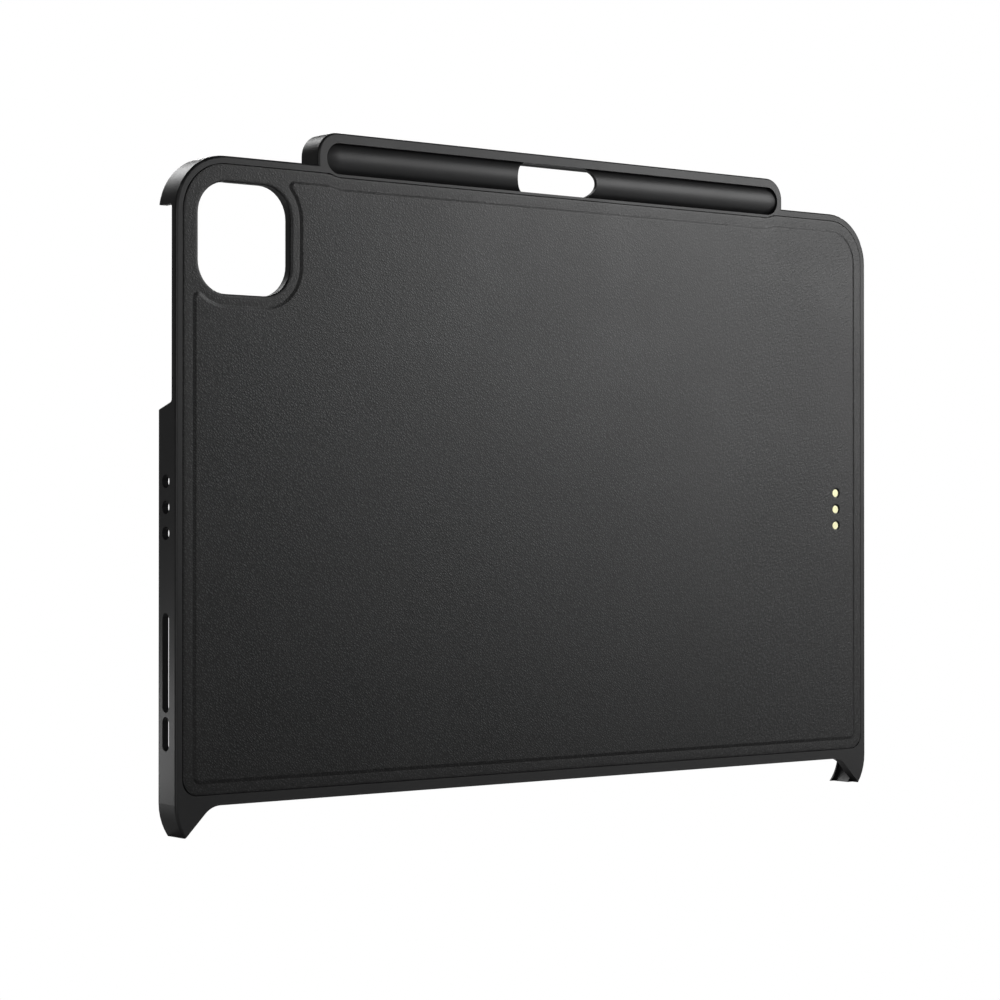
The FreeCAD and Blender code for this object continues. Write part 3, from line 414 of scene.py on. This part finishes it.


# The springs of the three pins


def make_spring(name, foot, top):
    """The middle pin's spring: a square wire wound about the pin's axis, from foot to top in metres."""
    wire = SPRING_WIRE * MM
    bpy.ops.object.select_all(action="DESELECT")
    bpy.ops.mesh.primitive_plane_add(
        size=wire, location=((CONTACT_X + SPRING_RADIUS) * MM, foot + wire / 2, 0)
    )
    coil = bpy.context.object
    coil.name = name
    scene.cursor.location = (CONTACT_X * MM, foot, 0)
    bpy.ops.object.origin_set(type="ORIGIN_CURSOR")
    bpy.ops.object.modifier_add(type="SCREW")
    winding = coil.modifiers[-1]
    winding.axis = "Y"
    winding.iterations = SPRING_TURNS
    winding.screw_offset = (top - foot - wire) / SPRING_TURNS
    winding.steps = SPRING_STEPS
    winding.render_steps = SPRING_STEPS
    bpy.ops.object.modifier_apply(modifier=winding.name)
    bpy.ops.object.transform_apply(location=True, rotation=True, scale=True)
    bpy.ops.object.mode_set(mode="EDIT")
    bpy.ops.mesh.select_all(action="SELECT")
    bpy.ops.mesh.fill_holes(sides=4)
    bpy.ops.mesh.normals_make_consistent(inside=False)
    bpy.ops.object.mode_set(mode="OBJECT")
    bpy.ops.object.shade_smooth_by_angle(angle=math.radians(WIRE_CREASE))
    return coil


def copy_piece(piece, name, lift):
    """A copy with its own mesh, moved up by a length in millimetres."""
    bpy.ops.object.select_all(action="DESELECT")
    piece.select_set(True)
    bpy.context.view_layer.objects.active = piece
    bpy.ops.object.duplicate(linked=False)
    copy = bpy.context.object
    copy.name = name
    bpy.ops.transform.translate(value=(0, 0, lift * MM))
    bpy.ops.object.transform_apply(location=True, rotation=True, scale=True)
    return copy


leather = make_leather()
lining = make_lining()
spring_foot, spring_top = (corner[1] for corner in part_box("pogo_spring_middle"))
coils = {"middle": make_spring("spring_coil_middle", spring_foot, spring_top)}
for name in ("upper", "lower"):
    coils[name] = copy_piece(coils["middle"], f"spring_coil_{name}", CONTACT_PLACES[name])


# Shader node groups: fine surface effects for the materials


def new_group(name, inputs, outputs):
    """An empty node group with its sockets: inputs are (name, kind, value), outputs (name, kind)."""
    group = bpy.data.node_groups.new(name, "ShaderNodeTree")
    for label, kind, value in inputs:
        socket = group.interface.new_socket(name=label, in_out="INPUT", socket_type=kind)
        if value is not None:
            socket.default_value = value
    for label, kind in outputs:
        group.interface.new_socket(name=label, in_out="OUTPUT", socket_type=kind)
    return group, group.nodes.new("NodeGroupInput"), group.nodes.new("NodeGroupOutput")


def add_node(tree, kind, values=None, **settings):
    """A node with its settings and the values of some of its inputs."""
    node = tree.nodes.new(kind)
    for key, value in settings.items():
        setattr(node, key, value)
    for key, value in (values or {}).items():
        node.inputs[key].default_value = value
    return node


def spread(tree, source, low, high, new_low, new_high):
    """Maps a value's range on to another one, smoothly."""
    node = add_node(
        tree,
        "ShaderNodeMapRange",
        {"From Min": low, "From Max": high, "To Min": new_low, "To Max": new_high},
        interpolation_type="SMOOTHSTEP",
    )
    tree.links.new(source, node.inputs["Value"])
    return node.outputs["Result"]


def combine(tree, how, *values):
    """Arithmetic on values, each a socket or a number."""
    node = add_node(tree, "ShaderNodeMath", operation=how)
    for index, value in enumerate(values):
        if isinstance(value, (int, float)):
            node.inputs[index].default_value = value
        else:
            tree.links.new(value, node.inputs[index])
    return node.outputs[0]


def noise(tree, vector, size, detail=3.0, rough=0.5):
    """Noise with features of about a size in millimetres."""
    node = add_node(
        tree, "ShaderNodeTexNoise", {"Scale": 1 / (size * MM), "Detail": detail, "Roughness": rough}
    )
    tree.links.new(vector, node.inputs["Vector"])
    return node


# The leather's grain has two slants: an angle in degrees, how far it is drawn out, and how deep it is.
GRAIN_SLANTS = ((40, 1.6, 1.0), (-42, 2.4, 1.5))

# The grain turns from one slant to the other between these places along X, in metres.
GRAIN_TURN = (0.03, 0.09)

# The usual height of the grain, which stays the same where it is deeper.
MEAN_HEIGHT = 1.2

# How high the lumps are beside the pebbles, and how far the pebbles wander.
LUMP_SHARE = 1.6
PEBBLE_WANDER = 0.7


def make_pebble_group():
    """The fine grain of pressed leather, drawn out a little along a slant: its height and its crests."""
    group, source, result = new_group(
        "pebble_grain",
        [("Vector", "NodeSocketVector", None), ("Pebbles per metre", "NodeSocketFloat", 1700.0)],
        [("Height", "NodeSocketFloat"), ("Crest", "NodeSocketFloat")],
    )
    vector = source.outputs["Vector"]
    wander = noise(group, vector, 1.3, detail=2.0)
    shift = add_node(group, "ShaderNodeVectorMath", {"Scale": PEBBLE_WANDER * MM}, operation="SCALE")
    group.links.new(wander.outputs["Color"], shift.inputs[0])
    heights = []
    for angle, stretch, relief in GRAIN_SLANTS:
        slant = add_node(
            group,
            "ShaderNodeMapping",
            {"Rotation": (0, math.radians(angle), 0), "Scale": (stretch, 1.0, 1.0)},
            vector_type="TEXTURE",
        )
        group.links.new(vector, slant.inputs["Vector"])
        moved = add_node(group, "ShaderNodeVectorMath", operation="ADD")
        group.links.new(slant.outputs[0], moved.inputs[0])
        group.links.new(shift.outputs[0], moved.inputs[1])
        cells = add_node(group, "ShaderNodeTexVoronoi", {"Randomness": 0.95}, feature="DISTANCE_TO_EDGE")
        group.links.new(moved.outputs[0], cells.inputs["Vector"])
        group.links.new(source.outputs["Pebbles per metre"], cells.inputs["Scale"])
        dome = spread(group, cells.outputs["Distance"], 0.0, 0.4, 0.0, 1.0)
        lumps = noise(group, moved.outputs[0], 0.5, rough=0.55)
        height = combine(group, "MULTIPLY_ADD", lumps.outputs["Fac"], LUMP_SHARE, dome)
        heights.append(combine(group, "MULTIPLY_ADD", height, relief, MEAN_HEIGHT * (1 - relief)))
    parts = add_node(group, "ShaderNodeSeparateXYZ")
    group.links.new(vector, parts.inputs[0])
    turn = add_node(group, "ShaderNodeMix", data_type="FLOAT")
    group.links.new(spread(group, parts.outputs["X"], *GRAIN_TURN, 0.0, 1.0), turn.inputs["Factor"])
    group.links.new(heights[0], turn.inputs["A"])
    group.links.new(heights[1], turn.inputs["B"])
    group.links.new(turn.outputs["Result"], result.inputs["Height"])
    crest = spread(group, turn.outputs["Result"], 0.7, 1.8, 0.0, 1.0)
    group.links.new(crest, result.inputs["Crest"])
    return group


def make_wear_group():
    """Where hands have polished a surface and where a little dust lies, as two masks."""
    group, source, result = new_group(
        "handling_wear",
        [("Vector", "NodeSocketVector", None)],
        [("Polish", "NodeSocketFloat"), ("Dust", "NodeSocketFloat")],
    )
    vector = source.outputs["Vector"]
    wide = noise(group, vector, 38.0, detail=4.0, rough=0.6)
    polish = spread(group, wide.outputs["Fac"], 0.35, 0.7, 0.0, 1.0)
    specks = noise(group, vector, 0.9, detail=2.0)
    lying = noise(group, vector, 25.0, detail=2.0)
    speck_mask = spread(group, specks.outputs["Fac"], 0.66, 0.74, 0.0, 1.0)
    lying_mask = spread(group, lying.outputs["Fac"], 0.45, 0.7, 0.0, 1.0)
    dust = combine(group, "MULTIPLY", speck_mask, lying_mask)
    group.links.new(polish, result.inputs["Polish"])
    group.links.new(dust, result.inputs["Dust"])
    return group


def make_mould_group():
    """The fine matt texture of a spark-eroded mould, as a height."""
    group, source, result = new_group(
        "mould_texture",
        [("Vector", "NodeSocketVector", None), ("Grain per metre", "NodeSocketFloat", 5000.0)],
        [("Height", "NodeSocketFloat")],
    )
    grain = add_node(group, "ShaderNodeTexNoise", {"Detail": 2.0, "Roughness": 0.6})
    group.links.new(source.outputs["Vector"], grain.inputs["Vector"])
    group.links.new(source.outputs["Grain per metre"], grain.inputs["Scale"])
    group.links.new(grain.outputs["Fac"], result.inputs["Height"])
    return group


PEBBLES = make_pebble_group()
WEAR = make_wear_group()
MOULD = make_mould_group()


# Materials


def new_material(name, colour, roughness, metallic=0.0, specular=0.5):
    """A plain finish: its nodes, its shader and its object coordinates, to add detail to."""
    material = bpy.data.materials.new(name)
    material.use_nodes = True
    tree = material.node_tree
    shader = tree.nodes["Principled BSDF"]
    shader.inputs["Base Color"].default_value = (*colour, 1.0)
    shader.inputs["Roughness"].default_value = roughness
    shader.inputs["Metallic"].default_value = metallic
    shader.inputs["Specular IOR Level"].default_value = specular
    place = tree.nodes.new("ShaderNodeTexCoord").outputs["Object"]
    return material, tree, shader, place


def add_group(tree, group, place):
    node = add_node(tree, "ShaderNodeGroup", node_tree=group)
    tree.links.new(place, node.inputs["Vector"])
    return node


def add_bump(tree, shader, height, depth, strength=1.0):
    """Relief of a depth in millimetres."""
    bump = add_node(tree, "ShaderNodeBump", {"Strength": strength, "Distance": depth * MM})
    tree.links.new(height, bump.inputs["Height"])
    tree.links.new(bump.outputs["Normal"], shader.inputs["Normal"])


def tint(tree, mask, base, other):
    """A colour that goes from one to another with a mask."""
    mix = add_node(tree, "ShaderNodeMix", data_type="RGBA")
    mix.inputs["A"].default_value = (*base, 1.0)
    mix.inputs["B"].default_value = (*other, 1.0)
    tree.links.new(mask, mix.inputs["Factor"])
    return mix.outputs["Result"]


def polish_with(tree, shader, mask, dull, polished):
    """Roughness that goes from a dull value to a polished one with a mask."""
    tree.links.new(spread(tree, mask, 0.0, 1.0, dull, polished), shader.inputs["Roughness"])


def leather_material():
    material, tree, shader, place = new_material("pressed_leather", (0.012, 0.012, 0.0125), 0.42)
    pebbles = add_group(tree, PEBBLES, place)
    wear = add_group(tree, WEAR, place)
    colour = tint(tree, pebbles.outputs["Crest"], (0.002, 0.002, 0.002), (0.02, 0.02, 0.0205))
    tree.links.new(colour, shader.inputs["Base Color"])
    polish_with(tree, shader, wear.outputs["Polish"], 0.42, 0.39)
    add_bump(tree, shader, pebbles.outputs["Height"], 0.02)
    return material


def moulding_material():
    black = (0.013, 0.013, 0.0135)
    material, tree, shader, place = new_material("satin_moulding", black, 0.44)
    wear = add_group(tree, WEAR, place)
    texture = add_group(tree, MOULD, place)
    colour = tint(tree, wear.outputs["Dust"], black, (0.03, 0.03, 0.03))
    tree.links.new(colour, shader.inputs["Base Color"])
    polish_with(tree, shader, wear.outputs["Polish"], 0.46, 0.42)
    add_bump(tree, shader, texture.outputs["Height"], 0.02, 0.25)
    return material


def lining_material():
    material, tree, shader, place = new_material("microfibre", (0.05, 0.05, 0.053), 0.9, specular=0.2)
    nap = noise(tree, place, 0.5, detail=4.0, rough=0.7)
    wear = add_group(tree, WEAR, place)
    colour = tint(tree, nap.outputs["Fac"], (0.03, 0.03, 0.032), (0.065, 0.065, 0.068))
    tree.links.new(colour, shader.inputs["Base Color"])
    polish_with(tree, shader, wear.outputs["Polish"], 0.95, 0.8)
    shader.inputs["Sheen Weight"].default_value = 0.4
    shader.inputs["Sheen Roughness"].default_value = 0.5
    add_bump(tree, shader, nap.outputs["Fac"], 0.15, 0.5)
    return material


def moulded_black(name, tone, roughness):
    """A dark inner piece with a fine matt texture."""
    material, tree, shader, place = new_material(name, (tone, tone, tone), roughness)
    texture = add_group(tree, MOULD, place)
    wear = add_group(tree, WEAR, place)
    polish_with(tree, shader, wear.outputs["Polish"], roughness + 0.05, roughness - 0.05)
    add_bump(tree, shader, texture.outputs["Height"], 0.02, 0.2)
    return material


def bare_metal(name, colour, roughness):
    """A plated or polished metal with the faint unevenness of handling."""
    material, tree, shader, place = new_material(name, colour, roughness, metallic=1.0)
    wear = add_group(tree, WEAR, place)
    fine = noise(tree, place, 0.3)
    uneven = combine(tree, "MULTIPLY", wear.outputs["Polish"], fine.outputs["Fac"])
    polish_with(tree, shader, uneven, roughness + 0.06, roughness - 0.05)
    return material


FINISHES = {
    "frame": moulding_material(),
    "plate": moulded_black("plate_laminate", 0.018, 0.5),
    "filler": moulded_black("filler_fibre", 0.05, 0.8),
    "skin": leather_material(),
    "lining": lining_material(),
    "contact_block": moulded_black("contact_moulding", 0.012, 0.35),
    "gasket": moulded_black("gasket_rubber", 0.01, 0.75),
    "board": moulded_black("board_mask", 0.02, 0.4),
    "gilt": bare_metal("gilt_plating", (0.7, 0.68, 0.43), 0.33),
    "spring": bare_metal("spring_wire", (0.6, 0.6, 0.62), 0.3),
    "magnet": bare_metal("magnet_nickel", (0.65, 0.64, 0.6), 0.28),
    "yoke": bare_metal("yoke_steel", (0.45, 0.45, 0.46), 0.4),
}


def dress(piece, slot):
    """Gives a piece the finish of a material slot."""
    piece.data.materials.clear()
    piece.data.materials.append(FINISHES[slot])


for subpart in frame["record"]["subparts"]:
    node = frame["nodes"][subpart["node"]]
    dress(node, subpart["material_slot"])

dress(leather, "skin")
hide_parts("leather_panel")
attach(leather, "case")
dress(lining, "lining")
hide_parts("lining")
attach(lining, "case")
for name, coil in coils.items():
    dress(coil, "spring")
    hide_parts(f"pogo_spring_{name}")
    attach(coil, "case")
    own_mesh(coil)


# Stage: a pale floor, soft light and the camera, in metres

WHITE = (1.0, 1.0, 1.0, 1.0)
FLOOR_GREY = (0.5, 0.5, 0.5, 1.0)
FLOOR_WIDTH = 30
ROOM_STRENGTH = 0.03

# Where most of the lights are aimed.
MIDDLE = (0, 0, 0.01)

# Each softbox: its place, its aim, its width and height, its power in watts and its spread in degrees.
SOFTBOXES = {
    "key_softbox": ((0.449, -0.411, 0.238), MIDDLE, 0.36, 0.32, 1.78, 180),
    "low_softbox": ((0.512, -0.400, 0.010), MIDDLE, 0.2, 0.17, 0.2, 180),
    "side_softbox": ((-0.746, 1.292, 0.167), MIDDLE, 0.6, 0.5, 0.25, 180),
    "edge_softbox": ((-0.212, 0.123, -0.072), (-0.126, 0, -0.075), 0.1, 0.02, 0.032, 180),
    "back_softbox": ((0.0, 1.077, 0.737), MIDDLE, 0.45, 0.35, 3.8, 180),
    "fill_softbox": ((-0.54, -1.06, 0.13), MIDDLE, 1.3, 0.5, 1.5, 180),
    "corner_softbox": ((-0.95, -0.80, 0.08), (-0.1, 0, 0.01), 0.4, 0.6, 2.0, 180),
    "front_softbox": ((0.42, 0.75, 0.2), MIDDLE, 0.3, 0.3, 0.5, 50),
}

# The camera: its place, its tilt and turn in degrees, and its lens and sensor in millimetres.
CAMERA_PLACE = (-0.50242, -0.60623, -0.00316)
CAMERA_TILT = 90.404
CAMERA_TURN = -38.5
CAMERA_LENS = 99.796
CAMERA_SENSOR = 36.0


def show_white(tree, white, other, surface):
    """Shows a white shader to the camera, and another shader to every other ray."""
    choice = add_node(tree, "ShaderNodeMixShader")
    path = add_node(tree, "ShaderNodeLightPath")
    tree.links.new(path.outputs["Is Camera Ray"], choice.inputs[0])
    tree.links.new(other.outputs[0], choice.inputs[1])
    tree.links.new(white.outputs[0], choice.inputs[2])
    tree.links.new(choice.outputs[0], surface)


def floor_material():
    """Even white to the camera, and a matt grey that the lights fall on to every other ray."""
    material = bpy.data.materials.new("pale_floor")
    material.use_nodes = True
    tree = material.node_tree
    matt = tree.nodes["Principled BSDF"]
    matt.inputs["Base Color"].default_value = FLOOR_GREY
    matt.inputs["Roughness"].default_value = 1.0
    matt.inputs["Specular IOR Level"].default_value = 0.0
    white = add_node(tree, "ShaderNodeEmission", {"Color": WHITE, "Strength": 1.0})
    show_white(tree, white, matt, tree.nodes["Material Output"].inputs["Surface"])
    return material


def add_floor():
    bpy.ops.object.select_all(action="DESELECT")
    low = cad_bounds[0][2]
    bpy.ops.mesh.primitive_plane_add(size=FLOOR_WIDTH, location=(0, 0, low))
    floor = bpy.context.object
    floor.name = "floor"
    floor.data.materials.append(floor_material())


def add_world():
    """White where the camera looks past the object, and a dim even room for its reflections."""
    world = bpy.data.worlds.new("studio")
    scene.world = world
    world.use_nodes = True
    tree = world.node_tree
    room = tree.nodes["Background"]
    room.inputs["Color"].default_value = WHITE
    room.inputs["Strength"].default_value = ROOM_STRENGTH
    white = add_node(tree, "ShaderNodeBackground", {"Color": WHITE, "Strength": 1.0})
    show_white(tree, white, room, tree.nodes["World Output"].inputs["Surface"])


def add_softbox(name, place, aim, width, height, power, spread_angle):
    bpy.ops.object.light_add(type="AREA", location=place)
    light = bpy.context.object
    light.name = name
    light.rotation_euler = (Vector(aim) - Vector(place)).to_track_quat("-Z", "Y").to_euler()
    light.data.shape = "RECTANGLE"
    light.data.size = width
    light.data.size_y = height
    light.data.energy = power
    light.data.spread = math.radians(spread_angle)
    light.visible_camera = False


def add_camera():
    bpy.ops.object.camera_add(location=CAMERA_PLACE)
    camera = bpy.context.object
    camera.name = "photo_view"
    camera.rotation_euler = (math.radians(CAMERA_TILT), 0, math.radians(CAMERA_TURN))
    camera.data.lens = CAMERA_LENS
    camera.data.sensor_width = CAMERA_SENSOR
    camera.data.clip_start = 0.05
    camera.data.clip_end = 50.0
    scene.camera = camera


add_floor()
add_world()
for name, softbox in SOFTBOXES.items():
    add_softbox(name, *softbox)
add_camera()
scene.view_settings.view_transform = "Standard"
